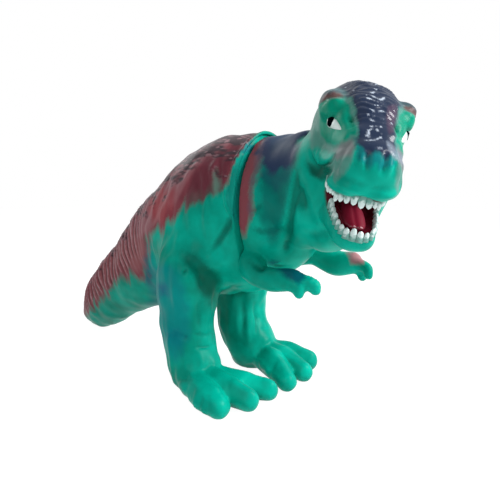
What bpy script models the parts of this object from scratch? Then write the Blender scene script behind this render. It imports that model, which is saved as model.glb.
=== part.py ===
# Toy dinosaur: a soft vinyl figure of two hollow castings that turn on each other at the waist.
# Metres, +Z up. The figure looks towards -Y, its right side is -X, and it stands on Z = 0.
import bpy
import bmesh
import numpy as np
from math import cos, pi, radians, sin
from mathutils import Matrix, Vector
from mathutils.bvhtree import BVHTree

# Driving sizes
trunkLength = 0.080          # tail root to shoulders, the scale of the trunk and neck
tailLength = 0.160           # hips to tail tip
headLength = 0.058           # back of the skull to the snout
legHeight = 0.088            # ground to the top of the thigh
footLength = 0.040
armLength = 0.040
hipSpacing = 0.048           # between the centre lines of the legs
shoulderSpacing = 0.044      # between the roots of the arms
originBack = 0.0779          # from the toe tips back to the middle of the figure's length
originSide = 0.0053          # from the middle of the figure's width to the trunk's mid-plane
wall = 0.0022                # vinyl wall of both castings

# Waist joint: the front casting's plug turns in the rear casting's flange
jointGap = 0.0003            # running gap between the castings
plugRadius = 0.0180
flangeThickness = 0.0028
beadHeight = 0.0022          # the plug's bead stands this far over its neck
beadLength = 0.0060
roundSteps = 40
waistShares = (0.000, 0.100, 1.300)       # of trunkLength: left, back and up to the joint
seamFootShare = 0.650                     # of trunkLength: below it are only legs and feet

# Head: middle of the eyes, left, back and up
headShares = (-0.334, -0.764, 1.718)      # of trunkLength
headYaw = radians(51)        # turned to its right
headPitch = radians(8)
headRoll = radians(11)

# Teeth
toothLength = 0.0036
toothRadius = 0.0012
toothSides = 6
toothPitch = 0.0031          # middle to middle along a row
toothLean = 0.35             # how far a tooth leans out with the skin at its root

# Sculpting
sculptGrain = 0.0018         # grid of the blended outer skin
cavityGrain = 0.0030         # grid of the blended hollow
overrun = 0.0400             # cutters reach this far past what they cut
weldReach = 0.00001          # corners closer than this are one
ringPoints = 28
stepsPerRow = 4
capSteps = 3
skinEaseSteps = 6
hollowEaseSteps = 2
rearKeepShare = 0.080        # faces kept after thinning
frontKeepShare = 0.140
hollowKeepShare = 0.060
legSquareShare = 2.2         # powers of the sections: 2 is an ellipse and more is boxier
toeSquareShare = 1.8
headSquareShare = 2.4
mouthSquareShare = 2.6
rowSquareShare = 0.75        # of the tooth rows: 1 is half an ellipse and less is boxier
vinylGreen = (0.000, 0.319, 0.216, 1.0)
vinylRoughness = 0.42

# Rows of sections: (left or outward, back, up, half width, half height), shares of the size beside them.
# Back runs from the toe tips' line and up from the ground, on the head from the middle of the eyes.
chestShares = (              # of trunkLength
    (-0.190, -0.620, 1.600, 0.250, 0.280),
    (-0.100, -0.450, 1.465, 0.280, 0.340),
    (-0.030, -0.250, 1.440, 0.295, 0.370),
    (0.000, -0.080, 1.440, 0.315, 0.360),
    (0.010, 0.100, 1.345, 0.335, 0.495),
    (0.010, 0.400, 1.300, 0.340, 0.550),
)
hipShares = (                # of trunkLength
    (0.000, -0.120, 1.320, 0.350, 0.500),
    (0.000, 0.100, 1.305, 0.365, 0.535),
    (0.000, 0.400, 1.265, 0.420, 0.575),
    (0.000, 0.650, 1.185, 0.430, 0.550),
    (0.000, 0.950, 1.060, 0.390, 0.500),
)
tailShares = (               # of tailLength
    (0.000, 0.625, 0.475, 0.165, 0.215),
    (0.000, 0.775, 0.378, 0.145, 0.185),
    (0.000, 0.950, 0.288, 0.125, 0.160),
    (0.010, 1.120, 0.178, 0.110, 0.140),
    (0.035, 1.250, 0.105, 0.090, 0.105),
    (0.080, 1.390, 0.056, 0.055, 0.060),
    (0.120, 1.473, 0.038, 0.035, 0.040),
)
legShares = {                # of legHeight, by side, outward from half the hip spacing
    -1: ((-0.180, 0.560, 1.060, 0.200, 0.200), (0.020, 0.510, 0.840, 0.200, 0.240),
         (0.040, 0.520, 0.640, 0.175, 0.205), (0.035, 0.540, 0.455, 0.165, 0.175),
         (0.030, 0.520, 0.290, 0.160, 0.170), (0.040, 0.450, 0.145, 0.155, 0.180)),
    1: ((-0.180, 0.560, 1.060, 0.200, 0.200), (0.000, 0.530, 0.840, 0.205, 0.240),
        (0.000, 0.560, 0.640, 0.190, 0.205), (-0.010, 0.580, 0.455, 0.180, 0.180),
        (-0.015, 0.550, 0.290, 0.175, 0.175), (0.010, 0.470, 0.145, 0.165, 0.185)),
}
toeShares = {                # of footLength, by side, outward from half the hip spacing
    -1: (((0.10, 0.84, 0.24, 0.32, 0.26), (0.08, 0.37, 0.19, 0.20, 0.22), (0.04, 0.04, 0.14, 0.16, 0.17)),
         ((0.22, 0.80, 0.22, 0.27, 0.24), (0.37, 0.47, 0.18, 0.22, 0.21), (0.43, 0.20, 0.14, 0.17, 0.17)),
         ((0.04, 0.80, 0.22, 0.24, 0.24), (-0.18, 0.37, 0.18, 0.19, 0.21), (-0.38, 0.04, 0.13, 0.15, 0.16))),
    1: (((0.06, 0.86, 0.24, 0.32, 0.26), (0.06, 0.37, 0.20, 0.20, 0.22), (0.04, 0.05, 0.14, 0.16, 0.17)),
        ((0.12, 0.84, 0.24, 0.24, 0.26), (0.28, 0.50, 0.22, 0.20, 0.24), (0.41, 0.21, 0.17, 0.16, 0.18)),
        ((0.00, 0.80, 0.22, 0.24, 0.24), (-0.22, 0.34, 0.18, 0.20, 0.21), (-0.40, 0.03, 0.13, 0.16, 0.16))),
}
armShares = {                # of armLength, by side, outward from half the shoulder spacing
    -1: ((-0.14, 0.25, 1.97, 0.20, 0.22), (0.02, -0.05, 1.85, 0.17, 0.18),
         (0.10, -0.35, 1.80, 0.14, 0.15), (0.10, -0.70, 1.84, 0.12, 0.13)),
    1: ((-0.14, 0.25, 1.97, 0.20, 0.22), (0.04, -0.15, 2.00, 0.16, 0.17),
        (0.12, -0.46, 1.87, 0.16, 0.19), (0.13, -0.74, 1.90, 0.13, 0.16)),
}
fingerShares = {             # of armLength
    -1: (((0.08, -0.70, 1.84, 0.09, 0.10), (0.04, -0.90, 1.80, 0.08, 0.08), (0.02, -0.94, 1.74, 0.07, 0.07)),
         ((0.14, -0.66, 1.80, 0.09, 0.10), (0.14, -0.78, 1.76, 0.08, 0.08), (0.14, -0.80, 1.69, 0.07, 0.07))),
    1: (((0.11, -0.74, 1.90, 0.09, 0.10), (0.07, -0.97, 1.86, 0.08, 0.08), (0.05, -1.01, 1.76, 0.07, 0.07)),
        ((0.17, -0.71, 1.87, 0.09, 0.10), (0.17, -0.85, 1.80, 0.08, 0.08), (0.17, -0.86, 1.71, 0.07, 0.07))),
}
skullShares = (              # of headLength
    (-0.02, 0.48, -0.12, 0.28, 0.30),
    (-0.01, 0.25, 0.02, 0.29, 0.32),
    (0.00, 0.00, 0.00, 0.25, 0.29),
    (0.00, -0.20, -0.11, 0.225, 0.24),
    (0.00, -0.36, -0.20, 0.22, 0.215),
    (0.00, -0.42, -0.22, 0.215, 0.190),
)
lipShares = (                # of headLength
    (0.17, 0.12, -0.17, 0.06, 0.10),
    (0.19, -0.15, -0.24, 0.06, 0.10),
    (0.17, -0.38, -0.29, 0.075, 0.09),
    (0.09, -0.495, -0.31, 0.09, 0.09),
)
templeShares = (             # of headLength
    (0.215, 0.36, 0.00, 0.11, 0.22),
    (0.20, 0.16, 0.00, 0.08, 0.16),
    (0.17, 0.00, -0.04, 0.06, 0.10),
)
browShares = (               # of headLength
    (0.17, 0.22, 0.13, 0.12, 0.13),
    (0.240, 0.05, 0.145, 0.095, 0.105),
    (0.222, -0.09, 0.12, 0.075, 0.080),
)
cheekShares = (              # of headLength
    (0.18, 0.35, -0.12, 0.10, 0.16),
    (0.21, 0.22, -0.26, 0.09, 0.13),
    (0.19, 0.17, -0.34, 0.07, 0.09),
)
jawShares = (                # of headLength
    (0.03, 0.38, -0.40, 0.22, 0.20),
    (0.06, 0.12, -0.53, 0.20, 0.17),
    (0.06, -0.08, -0.63, 0.18, 0.14),
    (0.06, -0.22, -0.68, 0.15, 0.11),
)
muscleShares = (             # of headLength
    (0.22, 0.40, -0.12, 0.10, 0.16),
    (0.18, 0.42, -0.50, 0.12, 0.16),
    (0.14, 0.50, -0.80, 0.14, 0.15),
)
throatShares = (             # of headLength
    (0.00, 0.22, -0.60, 0.20, 0.18),
    (0.00, 0.44, -0.76, 0.24, 0.22),
    (0.00, 0.62, -0.78, 0.25, 0.22),
)
mouthShares = (              # of headLength
    (0.03, 0.16, -0.36, 0.13, 0.07),
    (0.05, -0.05, -0.46, 0.145, 0.11),
    (0.06, -0.22, -0.51, 0.14, 0.125),
    (0.06, -0.70, -0.57, 0.16, 0.17),
)
skullHollowShares = (        # of headLength
    (0.00, 0.60, -0.22, 0.17, 0.20),
    (0.00, 0.36, -0.08, 0.19, 0.21),
    (0.00, 0.14, 0.04, 0.19, 0.20),
    (0.00, -0.10, 0.00, 0.16, 0.15),
    (0.00, -0.26, -0.10, 0.14, 0.10),
)
# Tooth rows: middle, half width, back, front, height at the corners and at the front, and how far
# round the row runs
upperTeethShares = (0.00, 0.205, 0.16, -0.51, -0.33, -0.50, 0.84)      # of headLength
lowerTeethShares = (0.06, 0.175, 0.12, -0.34, -0.44, -0.66, 0.90)      # of headLength


def clearScene():
    for old in list(bpy.data.objects):
        bpy.data.objects.remove(old, do_unlink=True)


def makeCollection(name):
    group = bpy.data.collections.new(name)
    bpy.context.scene.collection.children.link(group)
    return group


def vinyl(name):
    skin = bpy.data.materials.new(name)
    skin.use_nodes = True
    shader = skin.node_tree.nodes["Principled BSDF"]
    shader.inputs["Base Color"].default_value = vinylGreen
    shader.inputs["Roughness"].default_value = vinylRoughness
    return skin


def smoothRows(rows):
    """Catmull-Rom curve through the rows: each span is a cubic that keeps its neighbours' slopes."""
    p = np.array(rows, float)
    p = np.vstack([2 * p[0] - p[1], p, 2 * p[-1] - p[-2]])
    t = np.linspace(0, 1, stepsPerRow, endpoint=False)[:, None]
    out = []
    for a, b, c, d in zip(p, p[1:], p[2:], p[3:]):
        out.append(b + 0.5 * t * (c - a + t * (2 * a - 5 * b + 4 * c - d + t * (3 * (b - c) + d - a))))
    out.append(p[-2][None])
    return np.vstack(out)


def rowsOf(shares, size, side=0, half=0.0):
    """Shares to metres. With a side of -1 or 1 the first share runs outward from half a spacing."""
    rows = []
    for out, back, up, width, height in shares:
        across = side * (half + out * size) if side else out * size
        rows.append((across, back * size, up * size, width * size, height * size))
    return rows


def loft(work, rows, place, square=2.0, inset=0.0):
    """Adds a closed tube of rounded sections that follows the rows and ends in round caps. A row is
    left, back, up, half width and half height. Square is the section's power: 2 is an ellipse and
    more is boxier. Inset draws every section in, for the hollow of a shell."""
    rows = smoothRows(rows)
    centre = rows[:, :3]
    tangent = np.gradient(centre, axis=0)
    tangent /= np.linalg.norm(tangent, axis=1)[:, None]
    side = np.array((1.0, 0.0, 0.0)) - tangent * tangent[:, :1]
    side /= np.linalg.norm(side, axis=1)[:, None]
    up = np.cross(side, tangent)
    size = np.maximum(rows[:, 3:5] - inset, inset * 0.2)
    stack = [(centre[k], side[k], up[k], size[k]) for k in range(len(rows))]
    poles = []
    for end, sign in ((0, -1), (len(rows) - 1, 1)):
        reach = tangent[end] * sign * size[end].min()
        turns = [0.5 * pi * k / capSteps for k in range(1, capSteps)]
        cap = [(centre[end] + reach * sin(a), side[end], up[end], size[end] * cos(a)) for a in turns]
        stack = stack + cap if sign > 0 else cap[::-1] + stack
        poles.append(work.verts.new(place @ Vector(centre[end] + reach)))
    angle = 2 * pi * np.arange(ringPoints) / ringPoints
    ringCos = np.sign(np.cos(angle)) * np.abs(np.cos(angle)) ** (2 / square)
    ringSin = np.sign(np.sin(angle)) * np.abs(np.sin(angle)) ** (2 / square)
    rings = []
    for middle, wide, tall, half in stack:
        points = middle + np.outer(ringCos * half[0], wide) + np.outer(ringSin * half[1], tall)
        rings.append([work.verts.new(place @ Vector(point)) for point in points])
    for one, two in zip(rings, rings[1:]):
        for k in range(ringPoints):
            j = (k + 1) % ringPoints
            work.faces.new((one[k], one[j], two[j], two[k]))
    for k in range(ringPoints):
        j = (k + 1) % ringPoints
        work.faces.new((rings[0][j], rings[0][k], poles[0]))
        work.faces.new((rings[-1][k], rings[-1][j], poles[1]))


def addMesh(name, work, group, origin=Vector()):
    bmesh.ops.recalc_face_normals(work, faces=work.faces)
    bmesh.ops.triangulate(work, faces=work.faces)
    bmesh.ops.translate(work, vec=-origin, verts=work.verts)
    mesh = bpy.data.meshes.new(name)
    work.to_mesh(mesh)
    work.free()
    thing = bpy.data.objects.new(name, mesh)
    thing.location = origin
    group.objects.link(thing)
    return thing


def blended(name, work, grain, easeSteps, keepShare, group, origin=Vector()):
    """One skin over overlapping lofts: a grid wraps them, smoothing eases the joins, and thinning
    keeps the share of faces that the form needs."""
    thing = addMesh(name, work, group, origin)
    remesh = thing.modifiers.new("blend", "REMESH")
    remesh.mode = "VOXEL"
    remesh.voxel_size = grain
    smooth = thing.modifiers.new("smooth", "SMOOTH")
    smooth.iterations = easeSteps
    smooth.factor = 0.5
    thin = thing.modifiers.new("thin", "DECIMATE")
    thin.ratio = keepShare
    thin.use_collapse_triangulate = True
    return thing


def hide(tool):
    tool.hide_render = True
    tool.display_type = "WIRE"
    return tool


def boolean(thing, tool, operation="DIFFERENCE"):
    step = thing.modifiers.new(tool.name, "BOOLEAN")
    step.object = hide(tool)
    step.operation = operation
    step.solver = "EXACT"


def weld(thing, name):
    """Closes up the hair-thin slivers that cuts leave."""
    tidy = thing.modifiers.new(name, "WELD")
    tidy.merge_threshold = weldReach


def finish(thing, name):
    weld(thing, "tidy")
    thing.data.materials.append(vinyl(name))


def box(name, low, high):
    """A cutting box between two corners."""
    work = bmesh.new()
    bmesh.ops.create_cube(work, size=1)
    bmesh.ops.scale(work, vec=[b - a for a, b in zip(low, high)], verts=work.verts)
    bmesh.ops.translate(work, vec=[(a + b) / 2 for a, b in zip(low, high)], verts=work.verts)
    return addMesh(name, work, cutters)


def bore(name, radius, front, back):
    """A cutting cylinder along the joint's axis, between two distances behind the seam."""
    work = bmesh.new()
    place = waist @ Matrix.Translation((0, 0, (front + back) / 2))
    bmesh.ops.create_cone(work, cap_ends=True, segments=roundSteps, radius1=radius, radius2=radius,
                          depth=back - front, matrix=place)
    return addMesh(name, work, cutters)


def turnedPlug(name):
    """The plug as one profile turned about the joint's axis, from its rear end to the front face."""
    neckEnd = jointGap * 1.5 + flangeThickness
    profile = ((0, neckEnd + beadLength), (plugRadius - beadHeight / 2, neckEnd + beadLength),
               (plugRadius + beadHeight, neckEnd + beadLength / 3), (plugRadius + beadHeight, neckEnd),
               (plugRadius, neckEnd), (plugRadius, -(jointGap + wall) / 2), (0, -(jointGap + wall) / 2))
    work = bmesh.new()
    points = [work.verts.new((radius, 0, back)) for radius, back in profile]
    for one, two in zip(points, points[1:]):
        work.edges.new((one, two))
    mesh = bpy.data.meshes.new(name)
    work.to_mesh(mesh)
    work.free()
    thing = bpy.data.objects.new(name, mesh)
    thing.matrix_world = waist
    cutters.objects.link(thing)
    turn = thing.modifiers.new("turn", "SCREW")
    turn.steps = turn.render_steps = roundSteps
    turn.use_merge_vertices = True
    turn.merge_threshold = 0.00001
    return thing


def rearSkin():
    work = bmesh.new()
    loft(work, rowsOf(hipShares, trunkLength) + rowsOf(tailShares, tailLength), toToes)
    for side in (-1, 1):
        loft(work, rowsOf(legShares[side], legHeight, side, hipSpacing / 2), toToes, legSquareShare)
        for toe in toeShares[side]:
            loft(work, rowsOf(toe, footLength, side, hipSpacing / 2), toToes, toeSquareShare)
    return work


def rearHollow():
    work = bmesh.new()
    rows = rowsOf(hipShares, trunkLength) + rowsOf(tailShares, tailLength)[:5]
    loft(work, rows, toToes, inset=wall)
    for side in (-1, 1):
        rows = rowsOf(legShares[side], legHeight, side, hipSpacing / 2)[:5]
        loft(work, rows, toToes, legSquareShare, wall)
    return work


def frontSkin():
    work = bmesh.new()
    loft(work, rowsOf(chestShares, trunkLength), toToes)
    for side in (-1, 1):
        loft(work, rowsOf(armShares[side], armLength, side, shoulderSpacing / 2), toToes)
        for finger in fingerShares[side]:
            loft(work, rowsOf(finger, armLength, side, shoulderSpacing / 2), toToes)
        for shares in (lipShares, templeShares, browShares, cheekShares, muscleShares):
            loft(work, rowsOf(shares, headLength, side), headFrame)
    loft(work, rowsOf(skullShares, headLength), headFrame, headSquareShare)
    loft(work, rowsOf(jawShares, headLength), headFrame, headSquareShare)
    loft(work, rowsOf(throatShares, headLength), headFrame)
    return work


def frontHollow():
    work = bmesh.new()
    loft(work, rowsOf(chestShares, trunkLength)[1:], toToes, inset=wall)
    loft(work, rowsOf(skullHollowShares, headLength), headFrame, legSquareShare)
    return work


def toothRow(work, seats, skin, shares, rise):
    """Cones at an even pitch along a U in the open mouth, clear of the ones before. Upper teeth root
    where the lip is straight above and lower ones where the skin is nearest. Left is the half width
    * sin t, and the row comes forward and changes height with cos t, both to the row's power."""
    middle, half, rear, front, cornerUp, frontUp = (share * headLength for share in shares[:6])
    t = np.linspace(-1, 1, 400) * shares[6] * pi / 2
    across = np.sign(np.sin(t)) * np.abs(np.sin(t)) ** rowSquareShare
    ahead = np.cos(t) ** rowSquareShare
    curve = np.stack((middle + half * across, rear + (front - rear) * ahead,
                      cornerUp + (frontUp - cornerUp) * ahead), 1)
    along = np.concatenate(([0], np.cumsum(np.linalg.norm(np.diff(curve, axis=0), axis=1))))
    count = int(along[-1] / toothPitch)
    stops = along[-1] / 2 + toothPitch * (np.arange(count) - (count - 1) / 2)
    upward = headFrame.to_3x3() @ Vector((0, 0, rise))
    for stop in stops:
        spot = headFrame @ Vector([float(np.interp(stop, along, curve[:, k])) for k in range(3)])
        root, normal = skin.ray_cast(spot - joint, -upward, toothLength * 5)[:2]
        if rise > 0 or root is None:
            root, normal = skin.find_nearest(spot - joint)[:2]
        aim = (upward + normal * toothLean).normalized()
        seat = joint + root - normal * toothRadius + aim * toothLength / 3
        if any((seat - other).length < toothPitch * 0.85 for other in seats):
            continue
        seats.append(seat)
        place = Matrix.Translation(seat) @ aim.to_track_quat("Z", "Y").to_matrix().to_4x4()
        bmesh.ops.create_cone(work, cap_ends=True, segments=toothSides, radius1=toothRadius,
                              radius2=toothRadius / 3, depth=toothLength * 4 / 3, matrix=place)


def buildRear():
    """Hips, legs, feet and tail: open at the front but for the flange that holds the plug."""
    rear = blended("rear_body", rearSkin(), sculptGrain, skinEaseSteps, rearKeepShare, parts)
    room = blended("rear_hollow", rearHollow(), cavityGrain, hollowEaseSteps, hollowKeepShare, cutters)
    seam = joint.y + jointGap / 2
    far = overrun * 10
    boolean(room, box("flange", (-far, -far, -far), (far, seam + flangeThickness, far)))
    boolean(rear, box("ahead_of_seam", (-far, -far, seamFootShare * trunkLength), (far, seam, far)))
    boolean(rear, box("ground", (-far, -far, -far), (far, far, 0)))
    boolean(rear, room)
    boolean(rear, bore("flange_bore", plugRadius + jointGap, -overrun / 4, flangeThickness + overrun / 8))
    finish(rear, "rear_vinyl")


def buildFront():
    """Chest, neck, head and arms, closed at the seam by a wall that carries the plug."""
    front = blended("front_body", frontSkin(), sculptGrain, skinEaseSteps, frontKeepShare, parts, joint)
    room = blended("front_hollow", frontHollow(), cavityGrain, hollowEaseSteps, hollowKeepShare, cutters)
    seam = joint.y - jointGap / 2
    far = overrun * 10
    boolean(room, box("front_wall", (-far, seam - wall, -far), (far, far, far)))
    mouth = bmesh.new()
    loft(mouth, rowsOf(mouthShares, headLength), headFrame, mouthSquareShare)
    boolean(front, box("behind_seam", (-far, seam, -far), (far, far, far)))
    boolean(front, addMesh("mouth", mouth, cutters))
    skin = BVHTree.FromObject(front, bpy.context.evaluated_depsgraph_get())
    teeth = bmesh.new()
    seats = []
    toothRow(teeth, seats, skin, upperTeethShares, -1)
    toothRow(teeth, seats, skin, lowerTeethShares, 1)
    weld(front, "rim")
    boolean(front, addMesh("teeth", teeth, cutters), "UNION")
    boolean(front, room)
    boolean(front, turnedPlug("plug"), "UNION")
    boolean(front, bore("plug_bore", plugRadius - wall, -overrun / 4, overrun))
    finish(front, "front_vinyl")


clearScene()
parts = makeCollection("toy_dinosaur")
cutters = makeCollection("cutters")
toToes = Matrix.Translation((originSide, -originBack, 0))
joint = toToes @ (Vector(waistShares) * trunkLength)
waist = Matrix.Translation(joint) @ Matrix.Rotation(-pi / 2, 4, "X")
headFrame = (toToes @ Matrix.Translation(Vector(headShares) * trunkLength)
             @ Matrix.Rotation(-headYaw, 4, "Z") @ Matrix.Rotation(headPitch, 4, "X")
             @ Matrix.Rotation(headRoll, 4, "Y"))
buildRear()
buildFront()
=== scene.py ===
import bpy
import bmesh
import numpy as np
from math import cos, pi, radians, sin
from mathutils import Matrix, Vector
from mathutils.bvhtree import BVHTree


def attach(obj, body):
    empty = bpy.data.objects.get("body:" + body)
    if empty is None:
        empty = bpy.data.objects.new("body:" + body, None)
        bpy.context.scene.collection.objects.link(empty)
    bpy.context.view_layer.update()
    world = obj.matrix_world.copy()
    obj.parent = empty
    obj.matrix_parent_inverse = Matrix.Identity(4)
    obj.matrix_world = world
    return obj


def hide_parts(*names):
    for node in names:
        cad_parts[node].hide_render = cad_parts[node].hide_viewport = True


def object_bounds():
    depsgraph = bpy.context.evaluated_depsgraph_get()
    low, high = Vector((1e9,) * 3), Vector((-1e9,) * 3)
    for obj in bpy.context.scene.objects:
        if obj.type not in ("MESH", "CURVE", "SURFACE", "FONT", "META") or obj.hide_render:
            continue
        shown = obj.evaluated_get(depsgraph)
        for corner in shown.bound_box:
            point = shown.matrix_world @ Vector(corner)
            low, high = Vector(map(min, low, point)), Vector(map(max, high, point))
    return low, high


# A toy dinosaur of painted soft vinyl. Everything is in metres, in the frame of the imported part.
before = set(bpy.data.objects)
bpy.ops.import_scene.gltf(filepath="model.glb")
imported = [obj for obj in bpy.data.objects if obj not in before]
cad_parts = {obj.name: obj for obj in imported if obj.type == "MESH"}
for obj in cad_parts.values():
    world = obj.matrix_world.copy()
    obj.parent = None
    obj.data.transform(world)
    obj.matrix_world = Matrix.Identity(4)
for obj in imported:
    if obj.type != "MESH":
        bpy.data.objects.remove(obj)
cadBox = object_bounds()
print("frame loaded")

# where the photograph was taken from, and its lens
photoCamera = {"place": (-0.18774, -0.2263, 0.112), "azimuth": -48.5, "drop": 6.8, "lens": 32.18, "sensor": 36,
               "pixels": 500}

# places that both castings share, in metres
figure = {"originSide": 0.0053, "originBack": 0.0779, "trunk": 0.08, "tail": 0.16, "head": 0.058, "leg": 0.088,
          "foot": 0.04, "arm": 0.04, "hips": 0.048, "shoulders": 0.044, "seamGap": 0.0003,
          "waist": (0.0, 0.1, 1.3), "headAt": (-0.334, -0.764, 1.718), "headTurn": (51, 8, 11)}

toToes = Matrix.Translation((figure["originSide"], -figure["originBack"], 0))
waist = toToes @ (Vector(figure["waist"]) * figure["trunk"])
headTurn = [radians(a) for a in figure["headTurn"]]
headFrame = (toToes @ Matrix.Translation(Vector(figure["headAt"]) * figure["trunk"])
             @ Matrix.Rotation(-headTurn[0], 4, "Z") @ Matrix.Rotation(headTurn[1], 4, "X")
             @ Matrix.Rotation(headTurn[2], 4, "Y"))


# camera
def aimCamera():
    azimuth, drop = radians(photoCamera["azimuth"]), radians(photoCamera["drop"])
    forward = Vector((-sin(azimuth) * cos(drop), cos(azimuth) * cos(drop), -sin(drop)))
    data = bpy.data.cameras.new("photoCamera")
    data.lens, data.sensor_width = photoCamera["lens"], photoCamera["sensor"]
    data.clip_start, data.clip_end = 0.01, 20
    camera = bpy.data.objects.new("photoCamera", data)
    camera.location = photoCamera["place"]
    camera.rotation_euler = forward.to_track_quat("-Z", "Y").to_euler()
    bpy.context.scene.collection.objects.link(camera)
    bpy.context.scene.camera = camera
    bpy.context.view_layer.update()
    return np.array(camera.matrix_world)


eye = aimCamera()
focal = photoCamera["lens"] / photoCamera["sensor"] * photoCamera["pixels"]
half = photoCamera["pixels"] / 2


# A point's pixel is its place across and down the picture, over its depth, times the focal length.
def toPhoto(points):
    local = (points - eye[:3, 3]) @ eye[:3, :3]
    return np.stack((half - focal * local[:, 0] / local[:, 2], half + focal * local[:, 1] / local[:, 2]), 1)


def skinTree(thing):
    return BVHTree.FromObject(thing, bpy.context.evaluated_depsgraph_get())


# Pixels of the photograph are written across and down in turn.
def pairsOf(pixels):
    return np.reshape(pixels, (-1, 2)).astype(float)


# The skin's points under pixels of the photograph, found along each pixel's line of sight.
def onSkin(tree, pixels):
    found = []
    for across, down in pixels:
        aim = Vector(eye[:3, :3] @ np.array(((across - half) / focal, (half - down) / focal, -1))).normalized()
        hit = tree.ray_cast(Vector(eye[:3, 3]), aim)[0]
        if hit is not None:
            found.append(hit)
    return np.array(found, float).reshape(-1, 3)


# Catmull-Rom curve through rows: each span is a cubic that keeps its neighbours' slopes.
def smoothRows(rows, steps):
    p = np.array(rows, float)
    p = np.vstack([2 * p[0] - p[1], p, 2 * p[-1] - p[-2]])
    t = np.linspace(0, 1, steps, endpoint=False)[:, None]
    spans = [b + 0.5 * t * (c - a + t * (2 * a - 5 * b + 4 * c - d + t * (3 * (b - c) + d - a)))
             for a, b, c, d in zip(p, p[1:], p[2:], p[3:])]
    return np.vstack(spans + [p[-2][None]])


# Shares to metres. With a side of -1 or 1 the first share runs outward from half a spacing.
def rowsOf(shares, size, side=0, spacing=0.0):
    rows = np.array(shares, float) * size
    if side:
        rows[:, 0] = side * (spacing / 2 + rows[:, 0])
    return rows


# Four-sided faces between rings of points, ring after ring.
def ringFaces(rings, around):
    k, j = np.meshgrid(np.arange(rings - 1), np.arange(around), indexing="ij")
    one, two = k * around + j, k * around + (j + 1) % around
    return np.stack((one, one + around, two + around, two), -1).reshape(-1, 4)


# Raises to a power and keeps the sign, which squares off a ring.
def squareOff(values, power):
    return np.sign(values) * np.abs(values) ** power


# A closed tube along rows of left, back, up, half width and half height: each ring is centre + cos(a)
# * half width * side + sin(a) * half height * up, to the power 2 / square, and the ends are round.
def tube(rows, place, square=2.0, steps=6, ringPoints=44, capSteps=6):
    rows = smoothRows(rows, steps)
    centre = rows[:, :3]
    tangent = np.gradient(centre, axis=0)
    tangent /= np.linalg.norm(tangent, axis=1)[:, None]
    side = np.array((1.0, 0, 0)) - tangent * tangent[:, :1]
    side /= np.linalg.norm(side, axis=1)[:, None]
    up = np.cross(side, tangent)
    size = rows[:, 3:5]
    turn = 0.5 * pi * np.arange(1, capSteps)[:, None] / capSteps
    reach = [tangent[end] * sign * size[end].min() for end, sign in ((0, -1), (-1, 1))]
    caps = [(centre[end] + np.sin(turn) * reach[end], np.cos(turn) * size[end]) for end in (0, -1)]
    middles = np.vstack((caps[0][0][::-1], centre, caps[1][0]))
    halves = np.vstack((caps[0][1][::-1], size, caps[1][1]))
    sides, ups = (np.pad(way, ((capSteps - 1, capSteps - 1), (0, 0)), mode="edge") for way in (side, up))
    angle = 2 * pi * np.arange(ringPoints) / ringPoints
    across, high = squareOff(np.cos(angle), 2 / square), squareOff(np.sin(angle), 2 / square)
    grid = (middles[:, None] + across[None, :, None] * (halves[:, :1] * sides)[:, None]
            + high[None, :, None] * (halves[:, 1:] * ups)[:, None])
    count = len(middles)
    points = np.vstack((grid.reshape(-1, 3), centre[:1] + reach[0], centre[-1:] + reach[-1]))
    quads = ringFaces(count, ringPoints)
    rim = np.arange(ringPoints)
    after, last = (rim + 1) % ringPoints, (count - 1) * ringPoints
    ends = np.vstack((np.stack((rim, after, np.full(ringPoints, count * ringPoints)), 1),
                      np.stack((last + after, last + rim, np.full(ringPoints, count * ringPoints + 1)), 1)))
    matrix = np.array(place)
    return points @ matrix[:3, :3].T + matrix[:3, 3], quads.tolist() + ends.tolist()


def meshObject(name, points, faces):
    mesh = bpy.data.meshes.new(name)
    mesh.from_pydata(np.asarray(points).tolist(), [], faces)
    thing = bpy.data.objects.new(name, mesh)
    bpy.context.scene.collection.objects.link(thing)
    return thing


def joinTubes(name, tubes):
    points, faces, first = [], [], 0
    for p, f in tubes:
        points.append(p)
        faces += [[first + i for i in face] for face in f]
        first += len(p)
    return meshObject(name, np.vstack(points), faces)


# One closed skin over overlapping tubes: a fine grid wraps them, the hole is cut, the cut is wrapped again
# and the joins are eased.
def blendSkin(thing, grain, passes, hole=None):
    thing.modifiers.new("wrap", "REMESH")
    if hole:
        cut = thing.modifiers.new("cut", "BOOLEAN")
        cut.object, cut.operation, cut.solver = hole, "DIFFERENCE", "EXACT"
        thing.modifiers.new("again", "REMESH")
    for wrap in thing.modifiers:
        if wrap.type == "REMESH":
            wrap.mode, wrap.voxel_size = "VOXEL", grain
    ease = thing.modifiers.new("ease", "SMOOTH")
    ease.iterations, ease.factor = passes, 0.5
    mesh = bpy.data.meshes.new_from_object(thing.evaluated_get(bpy.context.evaluated_depsgraph_get()))
    thing.modifiers.clear()
    thing.data = mesh
    mesh.shade_smooth()
    return thing


def readPoints(mesh):
    points = np.empty(len(mesh.vertices) * 3)
    mesh.vertices.foreach_get("co", points)
    normals = np.empty(len(mesh.vertices) * 3, np.float32)
    mesh.vertex_normals.foreach_get("vector", normals)
    return points.reshape(-1, 3), normals.reshape(-1, 3).astype(float)


def writePoints(mesh, points):
    mesh.vertices.foreach_set("co", points.astype(np.float32).ravel())
    mesh.update()


def writeLayers(mesh, layers):
    for name, values in layers.items():
        layer = mesh.attributes.new(name, "FLOAT", "POINT")
        layer.data.foreach_set("value", np.clip(values, 0, 1).astype(np.float32))


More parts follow.
